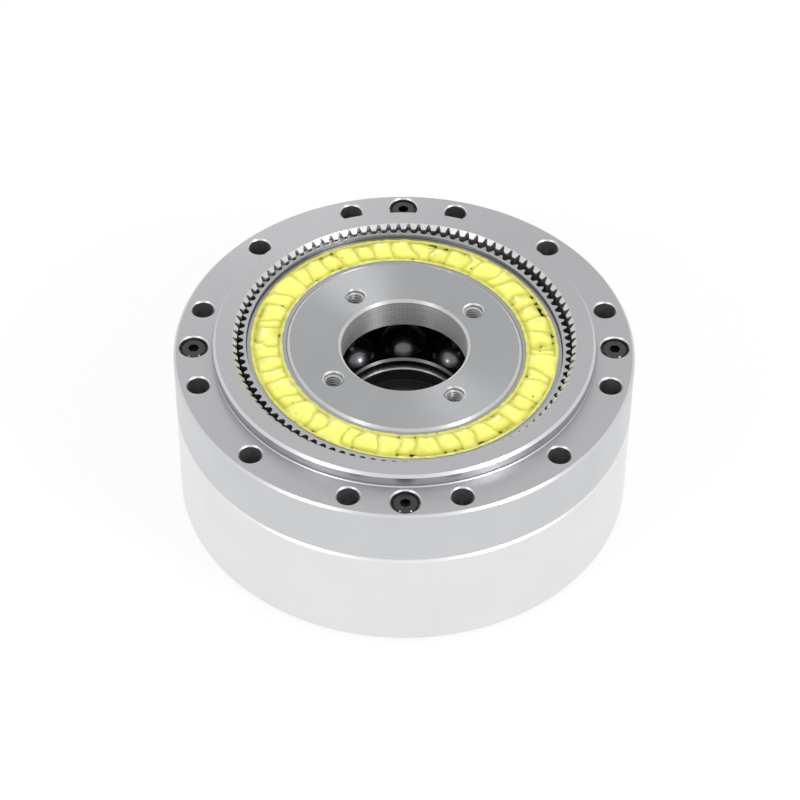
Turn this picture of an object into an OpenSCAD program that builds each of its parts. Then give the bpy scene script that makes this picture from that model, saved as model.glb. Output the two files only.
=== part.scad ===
// Strain wave gear unit of the short-cup kind, with a crossed-roller output bearing.
// +Z is the gear's axis, from the output face up to the wave generator.
// The origin is the centre of the output face, which is the lowest face of the unit.
// All sizes are in millimetres and all angles in degrees.

/* [Case] */
// Diameter of the case, the main size: all the circles inside it are set out from here
case_d = 70; // [64:0.5:78]
// Height of the circular spline's flange, from the parting line to the mounting face
flange_h = 9.6; // [9:0.1:13]
// Height of the lower case, from its foot to the parting line
case_h = 17.55; // [17:0.05:22]
// How far the output face stands proud of the case's foot
output_proud = 0.55; // [0.3:0.05:1]
// Chamfer on the outer edges of both case parts
case_chamfer = 0.35; // [0.2:0.05:0.8]
// Wall of the raised locating ring, outside the teeth
spline_wall = 3; // [2.6:0.1:3.4]
// Height of the locating ring over the mounting face
pilot_h = 2; // [1.5:0.1:3]
// Chamfer on the locating ring's outer edge
pilot_chamfer = 0.4; // [0.1:0.05:0.8]
// Width of the relief groove round the locating ring's foot
relief_w = 0.35; // [0.2:0.05:0.6]
// Depth of that relief groove
relief_depth = 0.15; // [0.1:0.05:0.4]
// Height of the spigot that centres the circular spline in the lower case
spigot_h = 1.2; // [0.8:0.1:2]

/* [Mounting holes] */
// From the case's edge in to the circle of its holes and screws
mount_edge = 3; // [2.7:0.1:4]
// From that circle in to the locating ring
pilot_edge = 3; // [2.7:0.1:3.5]
// Number of plain mounting holes between two case screws
holes_per_screw = 3; // [1:1:4]
// Diameter of a mounting hole, for M3
mount_hole_d = 3.4; // [3.2:0.1:3.8]
// Chamfer at the mouth of every hole
hole_chamfer = 0.2; // [0.1:0.05:0.3]

/* [Case screws] */
// Number of screws that hold the case together
screws = 4; // [3:1:5]
// Thread diameter
screw_d = 2; // [1.6:0.1:2.2]
// Length under the head
screw_l = 12; // [10:1:14]
// Head diameter
screw_head_d = 3.8; // [3.4:0.1:4]
// Head height
screw_head_h = 2; // [1.6:0.1:2.4]
// Hexagon socket, across flats
screw_hex = 1.5; // [1.3:0.1:1.7]
// How deep the head lies under the mounting face
screw_sunk = 0.3; // [0.1:0.1:0.6]
// Room round the head in its counterbore
head_play = 0.3; // [0.1:0.05:0.4]

/* [Teeth] */
// Reduction ratio of the gear: half the flexspline's number of teeth
reduction = 50; // [40:1:60]
// Length of the flexspline's teeth along the axis
tooth_w = 7.5; // [6.5:0.1:8.5]
// Angle between a tooth's flank and the radius
flank_angle = 28; // [24:1:30]
// Play between each pair of meshing flanks
tooth_play = 0.05; // [0.03:0.01:0.08]
// Addendum of the circular spline's teeth, in modules
spline_addendum = 0.2; // [0.1:0.05:0.5]
// Addendum of the flexspline's teeth, in modules
flex_addendum = 0.8; // [0.7:0.05:0.9]
// Dedendum of the flexspline's teeth, in modules
flex_dedendum = 0.6; // [0.5:0.05:0.8]

/* [Flexspline] */
// How far the rim stands over the mounting face
rim_proud = 0.95; // [0.6:0.05:1.2]
// Wall under the teeth
rim_wall = 0.4; // [0.35:0.01:0.5]
// Wall of the thin cup below the teeth
cup_wall = 0.25; // [0.2:0.01:0.3]
// How far the cup's wall lies outside the rim's bore
rim_step = 0.05; // [0.04:0.01:0.1]
// Thickness of the diaphragm
diaphragm_t = 0.6; // [0.4:0.05:0.8]
// Outer radius between the cup's wall and the diaphragm
cup_round = 2; // [1.4:0.1:3]
// Thickness of the boss
boss_h = 2.6; // [1.8:0.1:3]
// How much wider the boss's bore is than the output ring's, all round
boss_step = 0.65; // [0.4:0.05:1]

/* [Clamp ring and bolts] */
// Thickness of the clamp ring on the boss
clamp_h = 1.6; // [1.2:0.1:2.2]
// How much wider the clamp ring's bore is than the boss's, all round
clamp_step = 0.45; // [0.2:0.05:0.6]
// From the boss's bore out to the circle of bolts
boss_edge = 4.85; // [4.5:0.05:5.5]
// Least room between two bolt heads
bolt_gap = 0.8; // [0.5:0.1:3]
// Thread diameter
bolt_d = 4; // [3:0.5:4]
// Length under the head
bolt_l = 10; // [8:1:12]
// Diameter of the domed head
bolt_head_d = 7.6; // [6.8:0.1:7.8]
// Height of the dome
bolt_head_h = 2.2; // [1.9:0.1:2.6]
// Hexagon socket, across flats
bolt_hex = 2.5; // [2:0.5:3]
// Depth of the hexagon socket
bolt_hex_depth = 1.4; // [1.2:0.1:1.6]

/* [Wave generator] */
// Direction of the wave's long axis
wave_angle = 120; // [0:1:359]
// Thickness of the plug
plug_h = 5.4; // [5:0.1:6.4]
// How far the plug's face stands over the mounting face
plug_proud = 0.6; // [0.4:0.1:1]
// Wall of the plug, from the inner race in to its bore
plug_wall = 8.42; // [7.5:0.01:9]
// Chamfer on the plug's rim and bore
plug_chamfer = 0.4; // [0.2:0.05:0.6]
// From the bore out to the circle of tapped holes
input_edge = 3.35; // [2.5:0.05:4.5]
// Number of tapped holes
input_holes = 4; // [3:1:6]
// Their thread diameter
input_thread_d = 3; // [2.5:0.5:3]
// Direction of the first tapped hole
input_angle = 35; // [0:1:89]

/* [Wave bearing] */
// Width of both races
race_w = 6.2; // [6:0.1:7]
// Wall of a race under its groove
race_wall = 1.05; // [0.95:0.01:1.2]
// Depth of the ball groove
groove_depth = 0.45; // [0.35:0.01:0.5]
// Edge chamfer of the races
race_chamfer = 0.15; // [0.1:0.01:0.2]
// How far the races lie under the flexspline's rim
race_sunk = 0.6; // [0.3:0.05:0.8]
// Ball diameter
ball_d = 3.97; // [3.9:0.01:4]
// Cage above and below the balls
cage_edge = 0.5; // [0.35:0.05:0.55]
// Least bar of the cage between two pockets
cage_bar = 0.9; // [0.7:0.05:1.5]
// How far the grease stands over the races
grease_proud = 0.7; // [0.3:0.1:1]
// How far the grease spreads over each race
grease_spread = 0.8; // [0.4:0.1:1]

/* [Output bearing] */
// From the circle of the case's screws in to the circle through the rollers' centres
case_web = 5.5; // [5.1:0.1:6.5]
// From the rollers' circle in to the land where the seal's lip runs
seal_step = 2.3; // [2:0.1:3]
// Height of the rollers' centres over the case's foot
roller_rise = 7.85; // [7.7:0.05:8.4]
// Roller diameter
roller_d = 3.6; // [3.4:0.05:3.7]
// Roller length
roller_l = 3.4; // [3:0.05:3.4]
// Thickness of the spacer between two rollers
spacer_t = 0.6; // [0.4:0.05:0.7]
// Least free length, round the circle, for each roller and its spacer
roller_room = 0.4; // [0.3:0.05:0.8]
// Diameter of a spacer
spacer_d = 2.8; // [2:0.1:3]
// Opening between the two bearing rings
ring_gap = 0.7; // [0.5:0.05:0.9]
// Ring wall above the raceway of the output ring
race_lip = 0.95; // [0.8:0.05:1.4]
// Relief at the bottom of each raceway
race_relief = 0.3; // [0.1:0.05:0.5]
// Room round a roller in the hole through which it is loaded
load_play = 0.45; // [0.4:0.05:1]
// Diameter of the taper pin that locks the plug, at its thick end
pin_d = 2; // [1.5:0.1:2.5]

/* [Output flange] */
// Height at which that bore widens to the boss's bore
output_step_z = 8.6; // [7:0.1:10]
// From the seal's land in to the circle of tapped holes in the output face
output_edge = 4.2; // [3.8:0.1:5]
// From that circle in to the circle of the clamp bolts
circle_gap = 6; // [5.5:0.1:7]
// Number of tapped holes
output_holes = 8; // [4:1:10]
// Their thread diameter
output_thread_d = 4; // [3:0.5:4]
// Depth of their thread
output_thread_l = 7; // [5:0.5:7.5]

/* [Seals] */
// Radial width of the seal, from its land to its seat in the case
seal_w = 3.8; // [3.4:0.1:4.4]
// Depth of the seal's seat
seal_room = 3; // [2.8:0.1:3.4]
// How far the seal lies inside the case's foot
seal_sunk = 0.35; // [0.2:0.05:0.5]
// Sheet of the seal's steel case
seal_sheet = 0.4; // [0.3:0.05:0.5]
// How far that case reaches in over the rubber
seal_flange = 1.8; // [1.2:0.1:2]
// Thickness of the seal's lip
lip_t = 0.4; // [0.3:0.05:0.5]
// Cord diameter of the O-ring in the parting line
o_ring_cord = 1; // [0.8:0.05:1.1]
// Depth of the O-ring's groove
o_ring_depth = 0.75; // [0.6:0.05:0.78]

/* [Clearances] */
// Running clearance of a roller in its raceways
roller_play = 0.04; // [0.03:0.01:0.06]
// Running clearance of a ball in its grooves
ball_play = 0.08; // [0.06:0.01:0.1]
// Clearance of the cage from the balls and from the moving races
cage_play = 0.15; // [0.1:0.01:0.2]
// Gap between the grease and the parts that it lies on
grease_play = 0.05; // [0.05:0.01:0.2]
// Running clearance of the seal's lip
lip_play = 0.05; // [0.03:0.01:0.08]
// Clearance of pins, plugs, spigots and threads in their holes
fit_play = 0.02; // [0.01:0.01:0.04]
// Free gap between the diaphragm and the output ring
diaphragm_gap = 0.5; // [0.3:0.05:0.8]
// Clearance hole of a screw or bolt, over its thread diameter
bolt_play = 0.2; // [0.1:0.05:0.4]

/* [Hidden] */
$fn = 96;
over = 1;            // how far a cutting body reaches past what it cuts
wave_steps = 72;     // stations round each swept wave ring
arc_steps = 6;       // chords in a ball groove or a rounded corner
pin_taper = 1 / 50;  // taper of a standard taper pin, in diameter over length
drill_angle = 118;   // point angle of the drill that made the blind holes
drill_spare = 0.8;   // how much deeper a blind hole is than its screw goes

// Heights
foot_z = output_proud;
parting_z = foot_z + case_h;
face_z = parting_z + flange_h;
pilot_z = face_z + pilot_h;
wave_z = face_z + rim_proud;
plug_z = face_z + plug_proud;
race_top_z = wave_z - race_sunk;
race_z = race_top_z - race_w / 2;
teeth_z = wave_z - tooth_w;
spline_foot_z = teeth_z - 0.3;
roller_z = foot_z + roller_rise;

// Radii of the walls, bolt circles and bores, from the case's edge inwards
case_r = case_d / 2;
mount_r = case_r - mount_edge;
pilot_r = mount_r - pilot_edge;
roller_path_r = mount_r - case_web;
seal_land_r = roller_path_r - seal_step;
seal_seat_r = seal_land_r + seal_w;
output_r = seal_land_r - output_edge;
clamp_r = output_r - circle_gap;
boss_bore_r = clamp_r - boss_edge;
clamp_bore_r = boss_bore_r + clamp_step;
output_bore_r = boss_bore_r - boss_step;

// Teeth: the module is the one that fits inside the locating ring
flex_teeth = 2 * reduction;
spline_teeth = flex_teeth + 2;
spline_root_r = pilot_r - spline_wall;
tooth_module = spline_root_r / (spline_teeth / 2 + 1);
spline_pitch_r = tooth_module * spline_teeth / 2;
flex_pitch_r = tooth_module * flex_teeth / 2;
wave_h = spline_pitch_r - flex_pitch_r;
spline_tip_r = spline_pitch_r - spline_addendum * tooth_module;
flex_tip_r = flex_pitch_r + flex_addendum * tooth_module;
flex_root_r = flex_pitch_r - flex_dedendum * tooth_module;

// Wave bearing, from the flexspline inwards
flex_in_r = flex_root_r - rim_wall;
groove_r = ball_d / 2 + ball_play;
ball_path_r = flex_in_r - race_wall - groove_r;
plug_r = ball_path_r - groove_r - race_wall;
plug_bore_r = plug_r - plug_wall;
input_r = plug_bore_r + input_edge;
outer_shoulder_r = flex_in_r - race_wall - groove_depth;
inner_shoulder_r = plug_r + race_wall + groove_depth;
cage_in_r = inner_shoulder_r + wave_h + cage_play;
cage_out_r = outer_shoulder_r - wave_h - cage_play;
pocket_d = ball_d + wave_h + 2 * cage_play;
cage_half_h = pocket_d / 2 + cage_edge;
balls = floor(2 * PI * ball_path_r / (pocket_d + cage_bar));

// Output bearing, with as many rollers as there is room for
roller_step = roller_d + spacer_t + roller_room;
rollers = 2 * floor(PI * roller_path_r / roller_step);
raceway_side = roller_d + 2 * roller_play;
raceway_reach = raceway_side / sqrt(2);
case_land_r = roller_path_r + ring_gap / 2;
output_land_r = roller_path_r - ring_gap / 2;
output_top_z = roller_z + raceway_reach - ring_gap / 2 + race_lip;
seal_top_z = foot_z + seal_room;
load_plug_d = sqrt(pow(roller_d, 2) + pow(roller_l, 2)) + load_play;

// Flexspline's lower end
cup_in_r = flex_in_r + rim_step;
cup_out_r = cup_in_r + cup_wall;
boss_r = clamp_r + bolt_head_d / 2 + 0.4;
boss_z = output_top_z + boss_h;
clamp_z = boss_z + clamp_h;
diaphragm_z = output_top_z + diaphragm_gap;

// Fasteners and seals
clamp_bolts = floor(2 * PI * clamp_r / (bolt_head_d + bolt_gap));
mount_holes = screws * holes_per_screw;
load_angle = (holes_per_screw + 1) * 360 / mount_holes;
screw_seat_z = face_z - screw_sunk - screw_head_h;
counterbore_d = screw_head_d + 2 * head_play;
o_ring_r = (case_land_r + mount_r - mount_hole_d / 2) / 2;
spigot_r = case_land_r - fit_play;
relief_bore_r = spline_root_r + 0.2;
pin_z = roller_z + load_plug_d / 2 + 2;

// ---- Functions -------------------------------------------------------------------------

// The point at radius r and angle a
function polar(r, a) = [r * cos(a), r * sin(a)];

// The same point of a ring that the wave generator bends: two lobes rise by share of wave_h,
// and the wall slips round a little, so that its length stays what it was
function bent(r, a, share = 1) =
    let (rise = share * wave_h, turn = 2 * (a - wave_angle))
    polar(r + rise * cos(turn), a - rise / (2 * r) * sin(turn) * 180 / PI);

// Angle of half a tooth that is w wide at radius r
function half_angle(w, r) = w / (2 * r) * 180 / PI;

// Width of a tooth at radius r, from its width at the pitch radius: sense is -1 for a tooth
// that points outwards, and 1 for one that points inwards
function tooth_width(r, pitch_r, pitch_width, sense) =
    pitch_width + sense * 2 * (r - pitch_r) * tan(flank_angle);

// An arc's points in the plane of radius and height
function arc(centre, r, from, to, steps = arc_steps) =
    [for (i = [0:steps]) centre + polar(r, from + (to - from) * i / steps)];

// A list of points from its last to its first
function reversed(points) = [for (i = [len(points) - 1:-1:0]) points[i]];

// Gives every point of a plain section the same share of the wave
function shared(section, share) = [for (p = section) [p[0], p[1], share]];

// How much of the wave a point of the cup's wall at height z still carries
function cup_share(z) = max(0, min(1, (z - diaphragm_z) / (teeth_z - diaphragm_z)));

// ---- Building blocks -------------------------------------------------------------------

// Sweeps a section round the axis and bends it into the wave. The section runs anticlockwise,
// with the radius to the right, and each of its points is [radius, height, share of the wave].
module wave_ring(section) {
    n = len(section);
    points = [for (i = [0:wave_steps - 1]) for (p = section)
        let (q = bent(p[0], i * 360 / wave_steps, p[2])) [q[0], q[1], p[1]]];
    faces = [for (i = [0:wave_steps - 1]) for (j = [0:n - 1])
        let (a = i * n, b = (i + 1) % wave_steps * n, k = (j + 1) % n)
        each [[a + j, b + k, b + j], [a + j, a + k, b + k]]];
    polyhedron(points, faces, convexity = 8);
}

// Places its children at count equal steps round the axis
module around(count, first = 0, r = 0) {
    for (i = [0:count - 1])
        rotate(first + i * 360 / count)
            translate([r, 0, 0])
                children();
}

// A hole of diameter d from z0 up to z1, with a chamfered mouth at each end
module through_hole(d, z0, z1) {
    translate([0, 0, z0 - over])
        cylinder(h = z1 - z0 + 2 * over, d = d);
    for (end = [[z0, 0], [z1, 1]])
        translate([0, 0, end[0]])
            mirror([0, 0, end[1]])
                countersink(d, hole_chamfer);
}

// The chamfer at a hole's mouth, which opens downwards at z = 0
module countersink(d, size) {
    translate([0, 0, -over])
        cylinder(h = size + over, d1 = d + 2 * (size + over), d2 = d);
}

// A blind tapped hole that opens downwards at z = 0, with the drill's point above it
module tapped_hole(d, depth) {
    translate([0, 0, -over])
        cylinder(h = depth + over, d = d);
    translate([0, 0, depth])
        cylinder(h = d / 2 / tan(drill_angle / 2), d1 = d, d2 = 0);
    countersink(d, hole_chamfer);
}

// A socket-head screw whose head stands on z = 0
module socket_screw(d, length, head_d, head_h, hex) {
    edge = head_d / 20;
    difference() {
        union() {
            cylinder(h = head_h - edge, d = head_d);
            translate([0, 0, head_h - edge])
                cylinder(h = edge, d1 = head_d, d2 = head_d - 2 * edge);
            translate([0, 0, -length])
                cylinder(h = length, d = d - 2 * fit_play);
        }
        translate([0, 0, head_h / 2])
            cylinder(h = head_h, d = hex / cos(30), $fn = 6);
    }
}

// A button-head screw whose domed head stands on z = 0
module button_screw(d, length, head_d, head_h, hex, hex_depth) {
    dome_r = (pow(head_d / 2, 2) + pow(head_h, 2)) / (2 * head_h);
    difference() {
        union() {
            intersection() {
                translate([0, 0, head_h - dome_r])
                    sphere(dome_r);
                cylinder(h = head_h + over, d = head_d + over);
            }
            translate([0, 0, -length])
                cylinder(h = length + over / 2, d = d - 2 * fit_play);
        }
        translate([0, 0, head_h - hex_depth])
            cylinder(h = head_h, d = hex / cos(30), $fn = 6);
    }
}

// The crossed-roller raceway as a cutting body: a square ring that stands on its corner,
// with a relief at its inner and outer corners
module raceway() {
    rotate_extrude()
        translate([roller_path_r, roller_z]) {
            rotate(45)
                square(raceway_side, center = true);
            square([2 * raceway_reach + race_relief, race_relief], center = true);
        }
}

// The radial bore through which the rollers are loaded
module loading_bore(d) {
    rotate(load_angle)
        translate([roller_path_r - roller_d, 0, roller_z])
            rotate([0, 90, 0])
                cylinder(h = case_r, d = d);
}

// The tapered hole or pin, thick end down
module taper(play) {
    length = pin_z - foot_z;
    rotate(load_angle)
        translate([mount_r, 0, foot_z])
            cylinder(h = length, d1 = pin_d + 2 * play, d2 = pin_d + 2 * play - length * pin_taper);
}

// ---- Case ------------------------------------------------------------------------------

// Outline of the spaces between the circular spline's teeth, with everything inside them
module spline_void() {
    pitch = 360 / spline_teeth;
    tooth = PI * tooth_module / 2;
    tip = half_angle(tooth_width(spline_tip_r, spline_pitch_r, tooth, 1), spline_tip_r);
    root = half_angle(tooth_width(spline_root_r, spline_pitch_r, tooth, 1), spline_root_r);
    polygon([for (i = [0:spline_teeth - 1])
        let (a = wave_angle + (i + 0.5) * pitch)
        each [polar(spline_root_r, a - root), polar(spline_tip_r, a - tip),
              polar(spline_tip_r, a + tip), polar(spline_root_r, a + root)]]);
}

module circular_spline_blank() {
    r = case_r;
    c = case_chamfer;
    p = pilot_r;
    inside = spline_tip_r - over;
    rotate_extrude()
        polygon([[relief_bore_r, parting_z - spigot_h], [spigot_r, parting_z - spigot_h],
                 [spigot_r, parting_z], [r - c, parting_z], [r, parting_z + c],
                 [r, face_z - c], [r - c, face_z], [p + relief_w, face_z],
                 [p + relief_w, face_z - relief_depth], [p, face_z - relief_depth],
                 [p, pilot_z - pilot_chamfer], [p - pilot_chamfer, pilot_z],
                 [inside, pilot_z], [inside, spline_foot_z], [relief_bore_r, spline_foot_z]]);
}

module circular_spline() {
    lip = 0.05;
    color("silver")
        difference() {
            circular_spline_blank();
            translate([0, 0, spline_foot_z - over])
                linear_extrude(pilot_z - spline_foot_z + 2 * over)
                    spline_void();
            // lead-in chamfer over the tops of the teeth
            translate([0, 0, pilot_z - over])
                cylinder(h = 2 * over, r1 = spline_root_r + lip - over, r2 = spline_root_r + lip + over);
            around(mount_holes, 180 / mount_holes, mount_r)
                through_hole(mount_hole_d, parting_z, face_z);
            around(screws, 0, mount_r) {
                through_hole(screw_d + bolt_play, parting_z, face_z);
                translate([0, 0, screw_seat_z])
                    cylinder(h = face_z, d = counterbore_d);
                translate([0, 0, face_z])
                    mirror([0, 0, 1])
                        countersink(counterbore_d, hole_chamfer);
            }
        }
}

// The lower case before its holes: a ring with the seal's seat, the raceway and a groove
module case_blank() {
    r = case_r;
    c = case_chamfer;
    difference() {
        rotate_extrude()
            polygon([[seal_seat_r, foot_z], [r - c, foot_z], [r, foot_z + c],
                     [r, parting_z - c], [r - c, parting_z], [case_land_r, parting_z],
                     [case_land_r, seal_top_z], [seal_seat_r, seal_top_z]]);
        raceway();
    }
}

module o_ring_groove() {
    rotate_extrude()
        translate([o_ring_r - 0.65 * o_ring_cord, parting_z - o_ring_depth])
            square([1.3 * o_ring_cord, o_ring_depth + over]);
}

module bearing_outer_ring() {
    thread_l = screw_l - (screw_seat_z - parting_z) + drill_spare;
    color("gainsboro")
        difference() {
            case_blank();
            o_ring_groove();
            around(mount_holes, 180 / mount_holes, mount_r)
                through_hole(mount_hole_d, foot_z, parting_z);
            around(screws, 0, mount_r)
                translate([0, 0, parting_z])
                    mirror([0, 0, 1])
                        tapped_hole(screw_d, thread_l);
            loading_bore(load_plug_d);
            taper(0);
        }
}

module case_screws() {
    color("#1c1c1e")
        around(screws, 0, mount_r)
            translate([0, 0, screw_seat_z])
                socket_screw(screw_d, screw_l, screw_head_d, screw_head_h, screw_hex);
}

// The O-ring as it lies squeezed in its groove
module case_o_ring() {
    color("#202020")
        rotate_extrude()
            intersection() {
                translate([o_ring_r, parting_z - o_ring_depth / 2])
                    circle(d = o_ring_cord);
                translate([0, parting_z - o_ring_depth])
                    square([case_r, o_ring_depth]);
            }
}

// The seal's steel case: an angle ring that is pressed into its seat
module seal_case_section() {
    out = seal_seat_r;
    bottom = foot_z + seal_sunk;
    top = seal_top_z;
    wall = seal_sheet;
    edge = out - seal_flange;
    polygon([[out, bottom], [out, top], [edge, top], [edge, top - wall],
             [out - wall, top - wall], [out - wall, bottom]]);
}

module seal_case() {
    color("slategray")
        rotate_extrude()
            seal_case_section();
}

// The rubber, moulded round the steel case, with one lip that runs on the output ring
module oil_seal() {
    out = seal_seat_r - seal_sheet;
    neck = seal_seat_r - seal_flange - lip_t;
    lip = seal_land_r + lip_play;
    bottom = foot_z + seal_sunk;
    top = seal_top_z - seal_sheet;
    middle = (bottom + top) / 2;
    color("#262626")
        rotate_extrude()
            difference() {
                polygon([[out, bottom], [out, top], [neck, top], [neck, middle + lip_t],
                         [lip + lip_t, middle + 2 * lip_t], [lip, middle + lip_t], [lip, middle],
                         [lip + 2 * lip_t, bottom]]);
                seal_case_section();
            }
}

// The plug that closes the loading bore, with its end shaped as part of the raceway
module roller_loading_plug() {
    color("lightgray")
        difference() {
            intersection() {
                case_blank();
                loading_bore(load_plug_d - 2 * fit_play);
            }
            taper(0);
        }
}

module taper_pin() {
    color("gray")
        taper(-fit_play);
}

// ---- Output ----------------------------------------------------------------------------

module output_ring_blank() {
    c = case_chamfer;
    bore = output_bore_r;
    upper = boss_bore_r;
    rotate_extrude()
        polygon([[bore + c, 0], [seal_land_r - c, 0], [seal_land_r, c],
                 [seal_land_r, seal_top_z + 0.2], [output_land_r, seal_top_z + 0.2],
                 [output_land_r, output_top_z - c], [output_land_r - c, output_top_z],
                 [upper, output_top_z], [upper, output_step_z], [bore, output_step_z], [bore, c]]);
}

module output_ring() {
    thread_l = bolt_l - clamp_h - boss_h + drill_spare;
    color("lightsteelblue")
        difference() {
            output_ring_blank();
            raceway();
            around(output_holes, 180 / output_holes, output_r)
                tapped_hole(output_thread_d, output_thread_l);
            around(clamp_bolts, 90, clamp_r)
                translate([0, 0, output_top_z])
                    mirror([0, 0, 1])
                        tapped_hole(bolt_d, thread_l);
        }
}

// Outline of the flexspline's rim: teeth outside and a smooth wall inside, bent by the wave
module flex_rim() {
    pitch = 360 / flex_teeth;
    tooth = PI * tooth_module / 2 - 2 * tooth_play / cos(flank_angle);
    tip = half_angle(tooth_width(flex_tip_r, flex_pitch_r, tooth, -1), flex_tip_r);
    root = half_angle(tooth_width(flex_root_r, flex_pitch_r, tooth, -1), flex_root_r);
    difference() {
        polygon([for (i = [0:flex_teeth - 1])
            let (a = wave_angle + i * pitch)
            each [bent(flex_root_r, a - root), bent(flex_tip_r, a - tip),
                  bent(flex_tip_r, a + tip), bent(flex_root_r, a + root)]]);
        polygon([for (i = [0:wave_steps - 1]) bent(flex_in_r, i * 360 / wave_steps)]);
    }
}

// Section of the thin cup from the rim down to the boss. Its wall carries less and less of
// the wave, and its diaphragm none.
function cup_section() =
    let (top_z = teeth_z + 0.5,
         floor_z = diaphragm_z + diaphragm_t,
         in_r = boss_r - 0.8,
         in_round = cup_round - cup_wall,
         outside = concat([[in_r, diaphragm_z]],
                          arc([cup_out_r - cup_round, diaphragm_z + cup_round], cup_round, -90, 0),
                          [[cup_out_r, teeth_z], [cup_out_r, top_z]]),
         inside = concat([[cup_in_r, top_z], [cup_in_r, teeth_z]],
                         arc([cup_in_r - in_round, floor_z + in_round], in_round, 0, -90),
                         [[in_r, floor_z]]))
    [for (p = concat(outside, inside)) [p[0], p[1], cup_share(p[1])]];

module flexspline() {
    color("lightgray")
        difference() {
            union() {
                translate([0, 0, teeth_z])
                    linear_extrude(tooth_w)
                        flex_rim();
                wave_ring(cup_section());
                translate([0, 0, output_top_z])
                    cylinder(h = boss_h, r = boss_r);
            }
            through_hole(2 * boss_bore_r, output_top_z, boss_z);
            around(clamp_bolts, 90, clamp_r)
                translate([0, 0, output_top_z - over])
                    cylinder(h = boss_h + 2 * over, d = bolt_d + bolt_play);
        }
}

module clamp_ring() {
    color("darkgray")
        difference() {
            translate([0, 0, boss_z])
                cylinder(h = clamp_h, r = boss_r);
            translate([0, 0, boss_z - over])
                cylinder(h = clamp_h + 2 * over, r = clamp_bore_r);
            translate([0, 0, clamp_z])
                mirror([0, 0, 1])
                    countersink(2 * clamp_bore_r, case_chamfer);
            around(clamp_bolts, 90, clamp_r)
                translate([0, 0, boss_z - over])
                    cylinder(h = clamp_h + 2 * over, d = bolt_d + bolt_play);
        }
}

module clamp_bolts() {
    color("#101012")
        around(clamp_bolts, 90, clamp_r)
            translate([0, 0, clamp_z])
                button_screw(bolt_d, bolt_l, bolt_head_d, bolt_head_h, bolt_hex, bolt_hex_depth);
}

// Every other roller. Its axis leans by tilt in the plane through the gear's axis.
module cross_rollers(tilt, first) {
    around(rollers / 2, first * 360 / rollers, roller_path_r)
        translate([0, 0, roller_z])
            rotate([0, tilt, 0])
                cylinder(h = roller_l, d = roller_d, center = true);
}

module cross_rollers_rising() {
    color("whitesmoke")
        cross_rollers(45, 0);
}

module cross_rollers_falling() {
    color("gainsboro")
        cross_rollers(-45, 1);
}

module roller_spacers() {
    color("ivory")
        around(rollers, 180 / rollers, roller_path_r)
            translate([0, 0, roller_z])
                rotate([90, 0, 0])
                    cylinder(h = spacer_t, d = spacer_d, center = true);
}

// ---- Wave generator --------------------------------------------------------------------

module wave_generator_plug() {
    c = plug_chamfer;
    bottom = plug_z - plug_h;
    core = plug_bore_r - over;
    color("silver")
        difference() {
            wave_ring([[core, bottom, 0], [plug_r - c, bottom, 1], [plug_r, bottom + c, 1],
                       [plug_r, plug_z - c, 1], [plug_r - c, plug_z, 1], [core, plug_z, 0]]);
            translate([0, 0, bottom - over])
                cylinder(h = plug_h + 2 * over, r = plug_bore_r);
            translate([0, 0, bottom])
                countersink(2 * plug_bore_r, c);
            translate([0, 0, plug_z])
                mirror([0, 0, 1])
                    countersink(2 * plug_bore_r, c);
            around(input_holes, input_angle, input_r)
                through_hole(input_thread_d, bottom, plug_z);
        }
}

// Section of a race: its wall at radius back, its shoulders at radius front, and the groove
function race_section(back, front) =
    let (side = sign(front - back),
         c = side * race_chamfer,
         low = race_z - race_w / 2,
         high = race_top_z,
         reach = side * acos(abs(ball_path_r - front) / groove_r),
         middle = side > 0 ? 180 : 0,
         section = concat([[back + c, low], [front - c, low], [front, low + race_chamfer]],
                          arc([ball_path_r, race_z], groove_r, middle + reach, middle - reach),
                          [[front, high - race_chamfer], [front - c, high], [back + c, high],
                           [back, high - race_chamfer], [back, low + race_chamfer]]))
    side > 0 ? section : reversed(section);

module wave_bearing_inner_race() {
    color("gray")
        wave_ring(shared(race_section(plug_r, inner_shoulder_r), 1));
}

module wave_bearing_outer_race() {
    color("darkgray")
        wave_ring(shared(race_section(flex_in_r, outer_shoulder_r), 1));
}

module wave_bearing_balls() {
    color("whitesmoke")
        for (i = [0:balls - 1]) {
            centre = bent(ball_path_r, i * 360 / balls);
            translate([centre[0], centre[1], race_z])
                sphere(d = ball_d);
        }
}

module ball_cage() {
    color("tan")
        difference() {
            translate([0, 0, race_z - cage_half_h])
                cylinder(h = 2 * cage_half_h, r = cage_out_r);
            translate([0, 0, race_z - cage_half_h - over])
                cylinder(h = 2 * (cage_half_h + over), r = cage_in_r);
            around(balls, 0, cage_in_r - over)
                translate([0, 0, race_z])
                    rotate([0, 90, 0])
                        cylinder(h = cage_out_r - cage_in_r + 2 * over, d = pocket_d);
        }
}

// The grease fills the top of the ball track and spreads over both races
module bearing_grease() {
    low = race_z + cage_half_h + grease_play;
    edge = race_top_z + grease_play;
    high = race_top_z + grease_proud;
    slope = high - edge;
    neck_in = inner_shoulder_r + grease_play;
    neck_out = outer_shoulder_r - grease_play;
    inside = inner_shoulder_r - grease_spread;
    outside = outer_shoulder_r + grease_spread;
    color("#f0e850")
        wave_ring(shared([[neck_in, low], [neck_out, low], [neck_out, edge], [outside, edge],
                          [outside, edge + slope / 2], [outside - slope, high],
                          [inside + slope, high], [inside, edge + slope / 2], [inside, edge],
                          [neck_in, edge]], 1));
}

circular_spline();
bearing_outer_ring();
case_screws();
case_o_ring();
oil_seal();
seal_case();
roller_loading_plug();
taper_pin();
output_ring();
flexspline();
clamp_ring();
clamp_bolts();
cross_rollers_rising();
cross_rollers_falling();
roller_spacers();
wave_generator_plug();
wave_bearing_inner_race();
wave_bearing_outer_race();
wave_bearing_balls();
ball_cage();
bearing_grease();
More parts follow.
